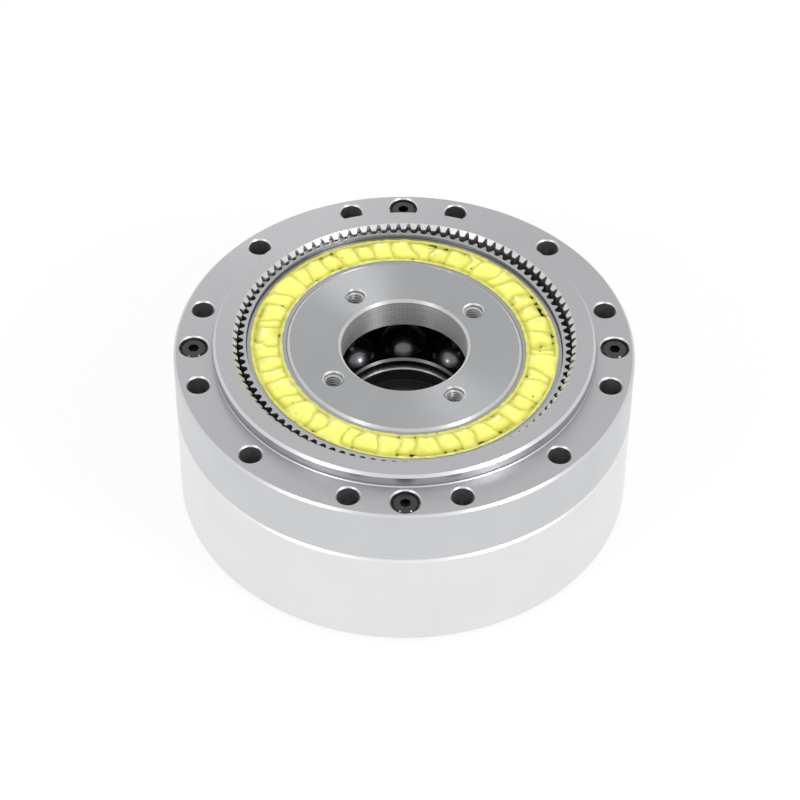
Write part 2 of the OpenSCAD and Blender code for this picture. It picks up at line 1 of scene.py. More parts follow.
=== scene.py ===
"""Looks of a strain wave gear unit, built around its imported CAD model.

Every size is in millimetres until it reaches a mesh, where it becomes metres. The frame is the
CAD's own: +Z is the gear's axis, and the output face lies on z = 0.
"""

from __future__ import annotations

import logging
import math
from collections.abc import Callable
from dataclasses import dataclass, field
from enum import Enum

import bmesh
import bpy
from mathutils import Matrix, Vector, noise

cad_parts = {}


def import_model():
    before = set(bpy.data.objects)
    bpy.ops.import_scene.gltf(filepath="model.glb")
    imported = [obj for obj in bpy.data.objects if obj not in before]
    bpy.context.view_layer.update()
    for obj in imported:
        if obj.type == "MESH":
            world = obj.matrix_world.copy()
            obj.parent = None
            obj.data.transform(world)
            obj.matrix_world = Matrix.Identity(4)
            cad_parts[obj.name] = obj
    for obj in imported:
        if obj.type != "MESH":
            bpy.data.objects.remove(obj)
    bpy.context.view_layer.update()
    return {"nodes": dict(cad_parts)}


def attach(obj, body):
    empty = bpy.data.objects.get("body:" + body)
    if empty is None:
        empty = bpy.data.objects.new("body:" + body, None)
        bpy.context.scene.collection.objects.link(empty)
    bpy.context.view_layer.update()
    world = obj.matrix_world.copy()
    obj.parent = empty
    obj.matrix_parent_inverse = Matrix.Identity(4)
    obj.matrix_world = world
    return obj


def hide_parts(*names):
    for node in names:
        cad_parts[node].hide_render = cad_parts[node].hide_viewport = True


MM = 0.001
# Points of a CAD mesh closer than this are one point, and faces that turn by less are flat.
WELD_MM = 0.001
FLAT_DEG = 0.2
# Nearly all values of a noise lie between these two.
NOISE_SPREAD = (0.3, 0.7)
WHITE = (1.0, 1.0, 1.0, 1.0)
# The layer of the grease's mesh that says how deep in a crease a point lies; the grease's colour
# turns it into painted shade in the folds.
CREASE_SHADE_LAYER = "crease"
LOG = logging.getLogger("strain_wave_gear")


class Body(Enum):
    """The CAD bodies that a piece can ride on."""

    HOUSING = "housing"
    OUTPUT = "output"
    WAVE_GENERATOR = "wave_generator"
    BALL_SET = "ball_set"
    ROLLER_TRAIN = "roller_train"


# ---- Helpers ---------------------------------------------------------------------------


def linear(hex_colour: str, darker: float = 0.0) -> tuple[float, float, float, float]:
    """Turns an sRGB hex colour into linear RGBA.

    Args:
        hex_colour: Six hex digits after a hash sign.
        darker: The share of its light that is taken away.

    Returns:
        Linear red, green, blue and an alpha of 1.
    """
    parts = [int(hex_colour[i : i + 2], 16) / 255 for i in (1, 3, 5)]
    lit = [c / 12.92 if c <= 0.04045 else ((c + 0.055) / 1.055) ** 2.4 for c in parts]
    red, green, blue = (c * (1 - darker) for c in lit)
    return red, green, blue, 1.0


def add_node(
    tree: bpy.types.NodeTree,
    kind: str,
    inputs: dict[str | int, object] | None = None,
    **settings: object,
) -> bpy.types.Node:
    """Adds a node with its settings, values and links.

    Args:
        tree: The node tree that receives it.
        kind: Blender's type name of the node.
        inputs: A value or an output socket for each named or numbered input.
        **settings: Properties of the node itself.

    Returns:
        The new node.
    """
    node = tree.nodes.new(kind)
    for name, value in settings.items():
        setattr(node, name, value)
    for name, value in (inputs or {}).items():
        if isinstance(value, bpy.types.NodeSocket):
            tree.links.new(value, node.inputs[name])
        else:
            node.inputs[name].default_value = value
    return node


def add_math(
    tree: bpy.types.NodeTree, operation: str, *values: object, **settings: object
) -> bpy.types.NodeSocket:
    """Adds a calculation.

    Args:
        tree: The node tree that receives it.
        operation: Blender's name of the calculation.
        *values: Its numbers or sockets, in order.
        **settings: Further properties of the node.

    Returns:
        The result.
    """
    inputs = dict(enumerate(values))
    return add_node(tree, "ShaderNodeMath", inputs, operation=operation, **settings).outputs[0]


def add_length(tree: bpy.types.NodeTree, vector: bpy.types.NodeSocket) -> bpy.types.NodeSocket:
    """Measures a vector."""
    node = add_node(tree, "ShaderNodeVectorMath", {0: vector}, operation="LENGTH")
    return node.outputs["Value"]


def add_range(
    tree: bpy.types.NodeTree,
    value: bpy.types.NodeSocket,
    source: tuple[float, float] = (0.0, 1.0),
    target: tuple[float, float] = (0.0, 1.0),
) -> bpy.types.NodeSocket:
    """Stretches one range of values onto another, and holds it within that.

    Args:
        tree: The node tree that receives it.
        value: What is stretched.
        source: The two values that are taken in.
        target: The two values that come out.

    Returns:
        The result.
    """
    inputs = {
        "Value": value,
        "From Min": source[0],
        "From Max": source[1],
        "To Min": target[0],
        "To Max": target[1],
    }
    return add_node(tree, "ShaderNodeMapRange", inputs).outputs[0]


def add_mix(
    tree: bpy.types.NodeTree,
    share: bpy.types.NodeSocket | float,
    first: object,
    second: object,
    blend_type: str = "MIX",
) -> bpy.types.NodeSocket:
    """Mixes two colours.

    Args:
        tree: The node tree that receives it.
        share: How much of the second colour is used.
        first: The first colour or socket.
        second: The second colour or socket.
        blend_type: Blender's name of the way to mix.

    Returns:
        The mixed colour.
    """
    inputs = {0: share, 6: first, 7: second}
    node = add_node(tree, "ShaderNodeMix", inputs, data_type="RGBA", blend_type=blend_type)
    return node.outputs[2]


def add_noise(
    tree: bpy.types.NodeTree,
    place: bpy.types.NodeSocket,
    grain_mm: float,
    detail: float = 2.0,
    roughness: float = 0.5,
    dimensions: str = "3D",
) -> bpy.types.NodeSocket:
    """Adds a noise whose grain has a real size.

    Args:
        tree: The node tree that receives it.
        place: Where the noise is read, a vector, or a plain length for a "1D" noise.
        grain_mm: The size of its grain.
        detail: How many finer layers it has.
        roughness: How strong they are.
        dimensions: "3D" or "1D".

    Returns:
        The noise.
    """
    inputs = {
        "W" if dimensions == "1D" else "Vector": place,
        "Scale": 1.0 / (grain_mm * MM),
        "Detail": detail,
        "Roughness": roughness,
    }
    node = add_node(tree, "ShaderNodeTexNoise", inputs, noise_dimensions=dimensions)
    return node.outputs["Fac"]


def add_bump(
    tree: bpy.types.NodeTree,
    height: bpy.types.NodeSocket,
    depth_mm: float,
    strength: float = 1.0,
) -> bpy.types.NodeSocket:
    """Turns a height into a bumpy normal.

    Args:
        tree: The node tree that receives it.
        height: The height, as a share.
        depth_mm: How high a share of 1 stands.
        strength: How much of the bump is used.

    Returns:
        The normal.
    """
    inputs = {"Height": height, "Strength": strength, "Distance": depth_mm * MM}
    return add_node(tree, "ShaderNodeBump", inputs).outputs[0]


def object_place(tree: bpy.types.NodeTree) -> bpy.types.NodeSocket:
    """Gives the object coordinates, which every pattern lies on."""
    return add_node(tree, "ShaderNodeTexCoord").outputs["Object"]


def new_material(name: str) -> tuple[bpy.types.Material, bpy.types.NodeTree]:
    """Makes an empty node material.

    Args:
        name: Its name.

    Returns:
        The material and its empty node tree.
    """
    material = bpy.data.materials.new(name)
    material.use_nodes = True
    material.node_tree.nodes.clear()
    return material, material.node_tree


def add_surface(tree: bpy.types.NodeTree, inputs: dict[str | int, object]) -> None:
    """Adds the surface shader and links it to the material's output.

    Args:
        tree: The material's tree.
        inputs: The shader's values and sockets.
    """
    shader = add_node(tree, "ShaderNodeBsdfPrincipled", inputs)
    add_node(tree, "ShaderNodeOutputMaterial", {"Surface": shader.outputs[0]})


def finish_mesh(name: str, mesh: bmesh.types.BMesh, smooth_deg: float = 30.0) -> bpy.types.Object:
    """Turns a bmesh into a linked object whose soft edges are shaded smooth.

    Args:
        name: The object's name.
        mesh: The shape, which is freed.
        smooth_deg: Edges that turn by less than this are shaded smooth.

    Returns:
        The new object, at the origin.
    """
    limit = math.radians(smooth_deg)
    for face in mesh.faces:
        face.smooth = True
    for edge in mesh.edges:
        edge.smooth = len(edge.link_faces) == 2 and edge.calc_face_angle(0.0) < limit
    data = bpy.data.meshes.new(name)
    mesh.to_mesh(data)
    mesh.free()
    obj = bpy.data.objects.new(name, data)
    bpy.context.scene.collection.objects.link(obj)
    return obj


def dress(obj: bpy.types.Object, material: bpy.types.Material) -> None:
    """Gives an object one material in place of whatever it had.

    Args:
        obj: The object.
        material: The finish for all its faces.
    """
    obj.data.materials.clear()
    obj.data.materials.append(material)


def merged_mesh(
    source: bpy.types.Object, mend: Callable[[bmesh.types.BMesh], None] | None = None
) -> bmesh.types.BMesh:
    """Joins a CAD node's loose triangles into one closed mesh with whole flat faces.

    Args:
        source: The CAD node's object, which stays as it is.
        mend: What to do to the joined triangles before flat faces are made whole.

    Returns:
        The mesh.
    """
    mesh = bmesh.new()
    mesh.from_mesh(source.data)
    bmesh.ops.remove_doubles(mesh, verts=mesh.verts, dist=WELD_MM * MM)
    if mend is not None:
        mend(mesh)
    bmesh.ops.dissolve_limit(
        mesh,
        angle_limit=math.radians(FLAT_DEG),
        verts=mesh.verts,
        edges=mesh.edges,
        use_dissolve_boundaries=False,
    )
    return mesh


# ---- Camera and studio -----------------------------------------------------------------


@dataclass(frozen=True)
class Viewpoint:
    """A long lens that looks down on the unit at 45 degrees."""

    focal_mm: float = 130.56
    sensor_mm: float = 36.0
    distance_mm: float = 432.58
    clip_mm: tuple[float, float] = (10.0, 50000.0)
    target_mm: tuple[float, float, float] = (-0.6253, -11.3647, 27.7)
    pitch_deg: float = 45.075
    yaw_deg: float = 0.170
    roll_deg: float = 0.379
    spin_deg: float = 0.368

    def build(self) -> bpy.types.Object:
        """Makes the scene's camera.

        Returns:
            The camera object.
        """
        pitch, yaw, roll, spin = (
            math.radians(a) for a in (self.pitch_deg, self.yaw_deg, self.roll_deg, self.spin_deg)
        )
        aim = (
            Matrix.Rotation(math.pi / 2 - pitch, 4, "X")
            @ Matrix.Rotation(-yaw, 4, "Y")
            @ Matrix.Rotation(roll, 4, "Z")
        )
        back = aim @ Vector((0.0, 0.0, self.distance_mm * MM))
        place = Matrix.Translation(Vector(self.target_mm) * MM + back)
        data = bpy.data.cameras.new("camera")
        data.lens = self.focal_mm
        data.sensor_width = self.sensor_mm
        data.clip_start, data.clip_end = (c * MM for c in self.clip_mm)
        camera = bpy.data.objects.new("camera", data)
        camera.matrix_world = Matrix.Rotation(-spin, 4, "Z") @ place @ aim
        bpy.context.scene.collection.objects.link(camera)
        bpy.context.scene.camera = camera
        return camera


@dataclass(frozen=True)
class SoftBox:
    """One rectangular white studio lamp that points at the unit."""

    name: str
    azimuth_deg: float
    elevation_deg: float
    distance_mm: float
    width_mm: float
    height_mm: float
    watts: float

    def build(self, target: Vector) -> bpy.types.Object:
        """Makes the lamp.

        Args:
            target: The point that it lights.

        Returns:
            The lamp object.
        """
        data = bpy.data.lights.new(self.name, "AREA")
        data.shape = "RECTANGLE"
        data.size = self.width_mm * MM
        data.size_y = self.height_mm * MM
        data.energy = self.watts
        lamp = bpy.data.objects.new(self.name, data)
        azimuth, elevation = math.radians(self.azimuth_deg), math.radians(self.elevation_deg)
        flat = math.cos(elevation)
        way = Vector((flat * math.cos(azimuth), flat * math.sin(azimuth), math.sin(elevation)))
        lamp.location = target + way * self.distance_mm * MM
        lamp.rotation_euler = way.to_track_quat("Z", "Y").to_euler()
        bpy.context.scene.collection.objects.link(lamp)
        return lamp


@dataclass
class Studio:
    """A white sweep, a plain sky and soft lamps."""

    sky: float = 0.95
    floor_radius_mm: float = 4000.0
    floor_points: int = 96
    floor_glow: float = 0.85
    floor_colour: str = "#f4f4f4"
    floor_roughness: float = 0.5
    # Painted shade: within this radius the floor under the unit is coloured dark.
    shade_colour: str = "#3c3c3d"
    shade_radius_mm: float = 34.0
    shade_blur_mm: float = 4.0
    aim_height_mm: float = 15.0
    lamps: tuple[SoftBox, ...] = (
        SoftBox("key_lamp", -40, 37, 900, 170, 170, 1.8),
        SoftBox("left_lamp", -135, 36, 900, 140, 140, 0.8),
        # Stands behind the unit, so the plug's rings throw its light as fans towards the
        # upper left and the lower right.
        SoftBox("back_lamp", 97, 26, 1100, 160, 260, 0.5),
    )

    def build(self) -> None:
        """Makes the sky, the floor and the lamps."""
        self.build_sky()
        self.build_floor()
        for lamp in self.lamps:
            lamp.build(Vector((0.0, 0.0, self.aim_height_mm)) * MM)

    def background_rays(self, tree: bpy.types.NodeTree) -> bpy.types.NodeSocket:
        """Says which rays see the plain white background.

        Args:
            tree: The tree that needs it.

        Returns:
            A socket of 1 for camera, glossy and transmitted rays.
        """
        rays = add_node(tree, "ShaderNodeLightPath").outputs
        shiny = add_math(tree, "MAXIMUM", rays["Is Glossy Ray"], rays["Is Transmission Ray"])
        return add_math(tree, "MAXIMUM", rays["Is Camera Ray"], shiny)

    def build_sky(self) -> None:
        """Makes the world: plain white to look at, and softer as a light."""
        world = bpy.data.worlds.new("studio")
        bpy.context.scene.world = world
        world.use_nodes = True
        tree = world.node_tree
        tree.nodes.clear()
        light, white = (
            add_node(tree, "ShaderNodeBackground", {"Color": WHITE, "Strength": strength})
            for strength in (self.sky, 1.0)
        )
        mix = add_node(
            tree,
            "ShaderNodeMixShader",
            {0: self.background_rays(tree), 1: light.outputs[0], 2: white.outputs[0]},
        )
        add_node(tree, "ShaderNodeOutputWorld", {"Surface": mix.outputs[0]})

    def build_floor(self) -> bpy.types.Object:
        """Makes the floor, white to look at but for the painted shade under the unit and the
        unit's shadow.

        Returns:
            The floor object.
        """
        mesh = bmesh.new()
        radius = self.floor_radius_mm * MM
        bmesh.ops.create_circle(mesh, cap_ends=True, segments=self.floor_points, radius=radius)
        floor = finish_mesh("floor", mesh)
        material, tree = new_material("white_sweep")
        glow = add_node(tree, "ShaderNodeEmission", {"Color": WHITE, "Strength": 1.0})
        shade = ((self.shade_radius_mm - self.shade_blur_mm) * MM, self.shade_radius_mm * MM)
        open_floor = add_range(tree, add_length(tree, object_place(tree)), shade)
        # Painted shade: the floor under the unit takes the dark colour and no glow, as it is seen
        # only through the bore.
        tint = add_mix(tree, open_floor, linear(self.shade_colour), linear(self.floor_colour))
        matt = add_node(
            tree, "ShaderNodeBsdfDiffuse", {"Color": tint, "Roughness": self.floor_roughness}
        )
        seen = add_math(tree, "MULTIPLY", self.background_rays(tree), self.floor_glow)
        share = add_math(tree, "MULTIPLY", seen, open_floor)
        mix = add_node(
            tree, "ShaderNodeMixShader", {0: share, 1: matt.outputs[0], 2: glow.outputs[0]}
        )
        add_node(tree, "ShaderNodeOutputMaterial", {"Surface": mix.outputs[0]})
        dress(floor, material)
        return floor


# ---- Finishes --------------------------------------------------------------------------


@dataclass(frozen=True)
class TurnedSteel:
    """Steel cut on a lathe, with tool rings round the gear's axis.

    The rings stretch every reflection across themselves, which gives the faces their lighter
    and darker sectors. The faces are painted a darker tone and the walls and chamfers a paler
    one, as painted shade and painted light.
    """

    name: str
    # Painted light: the darker face colour and the paler wall colour, which chamfers take too, are
    # shaded and lit tones of one steel.
    shaded_face_colour: str = "#b0b0b2"
    lit_wall_colour: str = "#d2d3d5"
    face_roughness: float = 0.36
    wall_roughness: float = 0.36
    anisotropy: float = 0.3
    ring_mm: float = 0.16
    ring_depth_mm: float = 0.002
    ring_roughness: float = 0.6
    line_share: float = 0.05
    line_range: tuple[float, float] = (0.75, 1.25)
    cloud_mm: float = 9.0
    cloud_detail: float = 4.0
    cloud_share: float = 0.06
    patch_share: float = 0.12
    face_slant: tuple[float, float] = (0.8, 0.95)
    wall_slant: tuple[float, float] = (0.6, 0.4)

    def rings(self, tree: bpy.types.NodeTree, place: bpy.types.NodeSocket) -> bpy.types.NodeSocket:
        """Makes the tool rings, along the radius on faces and along the axis on walls.

        Args:
            tree: The material's tree.
            place: The object coordinates.

        Returns:
            The height of the marks, a value round 1.
        """
        along_x, along_y, along_z = add_node(tree, "ShaderNodeSeparateXYZ", {0: place}).outputs
        flat = add_node(tree, "ShaderNodeCombineXYZ", {0: along_x, 1: along_y})
        marks = [
            add_noise(
                tree, along, self.ring_mm, roughness=self.ring_roughness, dimensions="1D"
            )
            for along in (add_length(tree, flat.outputs[0]), along_z)
        ]
        return add_math(tree, "ADD", *marks)

    def slant(
        self, tree: bpy.types.NodeTree, limits: tuple[float, float]
    ) -> bpy.types.NodeSocket:
        """Tells surfaces apart by how square they are to the axis.

        Args:
            tree: The material's tree.
            limits: The shares of the normal along the axis at which the result is 0 and 1.

        Returns:
            A socket from 0 to 1.
        """
        normal = add_node(tree, "ShaderNodeTexCoord").outputs["Normal"]
        upright = add_node(tree, "ShaderNodeSeparateXYZ", {0: normal}).outputs[2]
        return add_range(tree, add_math(tree, "ABSOLUTE", upright), limits)

    def tint(
        self,
        tree: bpy.types.NodeTree,
        faced: bpy.types.NodeSocket,
        cloud: bpy.types.NodeSocket,
        marks: bpy.types.NodeSocket,
    ) -> bpy.types.NodeSocket:
        """Makes the colour: the faces' shaded and the walls' lit tone, which is painted light,
        clouded a little.

        Args:
            tree: The material's tree.
            faced: 1 on faces and 0 on walls.
            cloud: A slow noise.
            marks: The height of the tool marks, which darken the walls in fine lines.

        Returns:
            The colour socket.
        """
        # Painted light: faces take the shaded tone, walls and chamfers the lit one.
        metal = add_mix(tree, faced, linear(self.lit_wall_colour), linear(self.shaded_face_colour))
        dull = add_mix(tree, 1.0, metal, (*[1 - self.cloud_share] * 3, 1.0), "MULTIPLY")
        clouded = add_mix(tree, cloud, metal, dull)
        lines = add_range(tree, marks, self.line_range, (1.0 - self.line_share, 1.0))
        return add_mix(tree, self.slant(tree, self.wall_slant), clouded, lines, "MULTIPLY")

    def build(self) -> bpy.types.Material:
        """Makes the material.

        Returns:
            The material.
        """
        material, tree = new_material(self.name)
        place = object_place(tree)
        cloud = add_noise(tree, place, self.cloud_mm, self.cloud_detail)
        faced = self.slant(tree, self.face_slant)
        plain = add_range(tree, faced, target=(self.wall_roughness, self.face_roughness))
        patchy = add_range(
            tree, cloud, NOISE_SPREAD, (1 - self.patch_share, 1 + self.patch_share)
        )
        marks = self.rings(tree, place)
        around = add_node(tree, "ShaderNodeTangent", direction_type="RADIAL", axis="Z")
        add_surface(
            tree,
            {
                "Base Color": self.tint(tree, faced, cloud, marks),
                "Metallic": 1.0,
                "Roughness": add_math(tree, "MULTIPLY", plain, patchy),
                "Anisotropic": self.anisotropy,
                # A quarter turn, so that reflections stretch across the rings.
                "Anisotropic Rotation": 0.25,
                "Normal": add_bump(tree, marks, self.ring_depth_mm),
                "Tangent": around.outputs[0],
            },
        )
        return material


@dataclass(frozen=True)
class PlainMetal:
    """Ground, polished or blackened metal without a direction of its own."""

    name: str
    colour: str
    roughness: float
    metallic: float = 1.0
    coat: float = 0.0
    coat_roughness: float = 0.08
    grain_mm: float = 0.25
    grain_depth_mm: float = 0.002
    grain_detail: float = 3.0
    wear_mm: float = 1.25
    wear_rough_share: float = 0.2
    wear_dark_share: float = 0.15

    def build(self) -> bpy.types.Material:
        """Makes the material.

        Returns:
            The material.
        """
        material, tree = new_material(self.name)
        place = object_place(tree)
        grain = add_noise(tree, place, self.grain_mm, self.grain_detail)
        wear = add_noise(tree, place, self.wear_mm, self.grain_detail)
        roughness = [self.roughness * (1 + self.wear_rough_share * side) for side in (-1, 1)]
        worn = linear(self.colour, self.wear_dark_share)
        add_surface(
            tree,
            {
                "Base Color": add_mix(tree, wear, linear(self.colour), worn),
                "Metallic": self.metallic,
                "Roughness": add_range(tree, wear, NOISE_SPREAD, tuple(roughness)),
                "Coat Weight": self.coat,
                "Coat Roughness": self.coat_roughness,
                "Normal": add_bump(tree, grain, self.grain_depth_mm),
            },
        )
        return material


@dataclass(frozen=True)
class Moulded:
    """Rubber or nylon as it comes from the mould."""

    name: str
    colour: str
    roughness: float
    grain_mm: float = 0.4
    grain_depth_mm: float = 0.01
    grain_strength: float = 0.4
    grain_detail: float = 4.0
    grain_dark_share: float = 0.2

    def build(self) -> bpy.types.Material:
        """Makes the material.

        Returns:
            The material.
        """
        material, tree = new_material(self.name)
        grain = add_noise(tree, object_place(tree), self.grain_mm, self.grain_detail)
        darker = linear(self.colour, self.grain_dark_share)
        add_surface(
            tree,
            {
                "Base Color": add_mix(tree, grain, linear(self.colour), darker),
                "Roughness": self.roughness,
                "Normal": add_bump(tree, grain, self.grain_depth_mm, self.grain_strength),
            },
        )
        return material


@dataclass(frozen=True)
class Grease:
    """Soft yellow grease, wet and slightly clear."""

    name: str = "bearing_grease"
    light: str = "#fffb80"
    # The deep colour is the folds' painted shade as well as the cloud's darker tone.
    deep: str = "#cdc81c"
    dirt: str = "#56541c"
    cloud_mm: float = 1.6
    cloud_share: float = 0.35
    cloud_roughness: float = 0.6
    cloud_detail: float = 4.0
    speck_mm: float = 1.1
    speck_range: tuple[float, float] = (0.73, 0.77)
    ripple_mm: float = 0.5
    ripple_depth_mm: float = 0.08
    ripple_strength: float = 0.6
    ripple_detail: float = 3.0
    clear_mm: float = 0.8
    clear_colour: tuple[float, float, float] = (1.0, 0.9, 0.2)

    def build(self) -> bpy.types.Material:
        """Makes the material.

        Returns:
            The material.
        """
        material, tree = new_material(self.name)
        place = object_place(tree)
        crease = add_node(
            tree, "ShaderNodeAttribute", attribute_name=CREASE_SHADE_LAYER, attribute_type="GEOMETRY"
        ).outputs["Fac"]
        cloud = add_noise(tree, place, self.cloud_mm, self.cloud_detail, self.cloud_roughness)
        # Painted shade: the crease layer pulls the folds towards the deep colour, on top of the
        # cloud's random tone.
        depth = add_math(tree, "MULTIPLY_ADD", cloud, self.cloud_share, crease, use_clamp=True)
        clean = add_mix(tree, depth, linear(self.light), linear(self.deep))
        speck = add_range(tree, add_noise(tree, place, self.speck_mm), self.speck_range)
        ripple = add_noise(tree, place, self.ripple_mm, self.ripple_detail)
        add_surface(
            tree,
            {
                "Base Color": add_mix(tree, speck, clean, linear(self.dirt)),
                "Roughness": 0.28,
                "IOR": 1.47,
                "Subsurface Weight": 0.35,
                "Subsurface Radius": self.clear_colour,
                "Subsurface Scale": self.clear_mm * MM,
                "Coat Weight": 0.7,
                "Coat Roughness": 0.1,
                "Normal": add_bump(tree, ripple, self.ripple_depth_mm, self.ripple_strength),
            },
        )
        return material


class Finish(Enum):
    """The finishes of the unit, by the record's material slot."""

    # Heat-treated alloy steel, finish-turned in a lathe: satin grey faces with fine rings and
    # white glints where the corners are broken. The faces' grey is painted shade, and the walls'
    # and chamfers' paler tone is painted light that adds to the lamps' glints.
    TURNED = TurnedSteel("turned_steel")
    # Bearing steel, cylindrically ground: an even, much paler silver that mirrors the sky
    # softly and shows hardly a line. Its walls are painted paler than its faces, as painted light.
    GROUND = TurnedSteel("ground_steel", "#d0d1d3", "#ebebec")
    # Nodular iron or alloy steel cut by a gear shaper: one tone darker than the turned steel,
    # without rings. Its flanks are painted a touch paler than its faces, as painted light.
    TEETH = TurnedSteel("tooth_steel", "#adaeb0", "#b4b5b7", 0.36, 0.36)
    # Carbon steel, face-turned and bored dry: the face throws fans of light from its rings,
    # and the bore is rough with dark tool lines. The face's darker grey and the bore's far paler
    # walls are painted shade and painted light.
    PLUG = TurnedSteel(
        "plug_steel",
        "#a6a7a9",
        "#e4e5e6",
        face_roughness=0.24,
        wall_roughness=0.5,
        anisotropy=0.9,
        ring_mm=0.15,
        ring_depth_mm=0.01,
        line_share=0.75,
    )
    # The same turned steel at the bottom of the cup, painted nearly black as shade, and its
    # walls darkened further in lines; each corner keeps a paler tone, a painted highlight that
    # draws a bright line on it.
    PAINTED_LIGHT = TurnedSteel("turned_steel_oiled", "#3a3b3d", "#77787a", line_share=0.85)
    # Through-hardened chrome steel, ground and tumbled: grey, without a direction, and a
    # little blurred.
    BEARING = PlainMetal("bearing_steel", "#a2a3a5", 0.34)
    # Alloy steel screws, black-oxided and oiled: black with a hard, wet-looking gloss.
    BLACK = PlainMetal("black_oxide", "#1c1c1e", 0.26, metallic=0.9, coat=1.0)
    # The same screws in a lighter copy: painted highlight, brighter reflections in the cup.
    BLACK_PAINTED_LIGHT = PlainMetal("black_oxide_oiled", "#5c5d60", 0.3, metallic=1.0, coat=1.0)
    # Moulded nitrile rubber with carbon black: matt and almost black.
    RUBBER = Moulded("nitrile_rubber", "#1c1c1d", 0.6)
    # Injection-moulded natural nylon: cream, slightly see-through, half matt.
    NYLON = Moulded("cage_nylon", "#d8cda6", 0.45)
    # Lithium soap grease pressed in by hand: pale yellow, soft and wet, its folds painted deeper
    # as shade.
    GREASE = Grease()

    @property
    def material(self) -> bpy.types.Material:
        """The built material, which is made when it is first asked for."""
        found = bpy.data.materials.get(f"{self.value.name}_finish")
        if found is None:
            found = self.value.build()
            found.name = f"{self.value.name}_finish"
        return found

    @property
    def slot(self) -> str:
        """The record's material slot, which a finish with painted light shares with the plain one.
        """
        return self.value.name.removesuffix("_oiled")


# ---- The wave --------------------------------------------------------------------------


@dataclass(frozen=True)
class Wave:
    """The two-lobed shape that the wave generator gives to everything round it."""

    height_mm: float = 0.5
    angle_deg: float = 120.0

    def bend(self, point: Vector) -> Vector:
        """Moves a point of a round ring to where the wave takes it.

        Args:
            point: A point in metres.

        Returns:
            The bent point.
        """
        radius = math.hypot(point.x, point.y)
        if radius < MM:
            return point
        angle = math.atan2(point.y, point.x)
        turn = 2 * (angle - math.radians(self.angle_deg))
        rise = self.height_mm * MM
        out = radius + rise * math.cos(turn)
        slipped = angle - rise / (2 * radius) * math.sin(turn)
        return Vector((out * math.cos(slipped), out * math.sin(slipped), point.z))


# ---- Pieces ----------------------------------------------------------------------------


@dataclass
class SubAssembly:
    """A group of pieces that ride on one body."""

    nodes: dict[str, bpy.types.Object]
    body: Body

    def keep(self, node: str, finish: Finish) -> None:
        """Shows a CAD node as it is, in its finish.

        Args:
            node: The CAD node.
            finish: Its finish.
        """
        dress(self.nodes[node], finish.material)
        LOG.info("CAD node %s keeps its shape, in %s", node, finish.slot)

    def add(self, piece: bpy.types.Object, finish: Finish, *replaced: str) -> bpy.types.Object:
        """Adds a modelled piece to this sub-assembly.

        Args:
            piece: The piece, in place.
            finish: Its finish.
            *replaced: CAD nodes that it stands for.

        Returns:
            The piece.
        """
        dress(piece, finish.material)
        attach(piece, self.body.value)
        if replaced:
            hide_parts(*replaced)
        LOG.info("piece %s rides on %s", piece.name, self.body.value)
        return piece

    def smooth(self, node: str, finish: Finish) -> bpy.types.Object:
        """Replaces a CAD node by its own merged and smoothly shaded copy.

        Args:
            node: The CAD node.
            finish: Its finish.

        Returns:
            The copy.
        """
        piece = finish_mesh(f"{node}_smooth", merged_mesh(self.nodes[node]))
        return self.add(piece, finish, node)


@dataclass
class Housing(SubAssembly):
    """The fixed ring, the lower case and what is fastened or pressed into them."""

    body: Body = Body.HOUSING
    face_mm: float = 27.7
    pilot_mm: float = 29.0
    relief_depth_mm: float = 0.15
    fillet_mm: float = 0.14
    # The band of the pilot's wall that the mouths of the counterbores touch.
    mouth_rise_mm: tuple[float, float] = (0.5, 1.1)
    mouth_depth_mm: float = 1.0
    slack_mm: float = 0.01

    def build(self) -> None:
        """Dresses the case."""
        self.add(self.spline(), Finish.TURNED, "circular_spline")
        self.keep("bearing_outer_ring", Finish.GROUND)
        self.keep("case_screws", Finish.BLACK)
        self.keep("case_o_ring", Finish.RUBBER)
        self.keep("oil_seal", Finish.RUBBER)
        self.keep("seal_case", Finish.GROUND)
        self.keep("roller_loading_plug", Finish.GROUND)
        self.keep("taper_pin", Finish.BEARING)

    def spline(self) -> bpy.types.Object:
        """Copies the circular spline and rounds the corner at its pilot's foot.

        Returns:
            The copy.
        """
        mesh = merged_mesh(self.nodes["circular_spline"], self.round_pilot)
        foot = [edge for edge in mesh.edges if all(map(self.at_foot, edge.verts))]
        bmesh.ops.bevel(mesh, geom=foot, offset=self.fillet_mm * MM, affect="EDGES")
        return finish_mesh("circular_spline_smooth", mesh)

    def radius_and_rise(self, vert: bmesh.types.BMVert) -> tuple[float, float]:
        """Gives a point's distance from the axis and its height over the flange, in mm."""
        return math.hypot(vert.co.x, vert.co.y) / MM, vert.co.z / MM - self.face_mm

    def at_foot(self, vert: bmesh.types.BMVert) -> bool:
        """Tells whether a point lies in the corner at the pilot's foot."""
        radius, rise = self.radius_and_rise(vert)
        level = abs(rise + self.relief_depth_mm) < self.slack_mm
        return level and abs(radius - self.pilot_mm) < 2 * self.slack_mm

    def round_pilot(self, mesh: bmesh.types.BMesh) -> None:
        """Puts back on the pilot's wall the points that the counterbores' mouths took in.

        Args:
            mesh: The joined triangles of the circular spline.
        """
        low, high = self.mouth_rise_mm
        moved = []
        for vert in mesh.verts:
            radius, rise = self.radius_and_rise(vert)
            out = radius - self.pilot_mm
            if low < rise < high and -self.mouth_depth_mm < out < self.slack_mm:
                vert.co.xy *= self.pilot_mm / radius
                moved.append(vert)
        bmesh.ops.remove_doubles(mesh, verts=moved, dist=self.slack_mm * MM)
        bmesh.ops.dissolve_degenerate(mesh, edges=mesh.edges, dist=WELD_MM / 2 * MM)


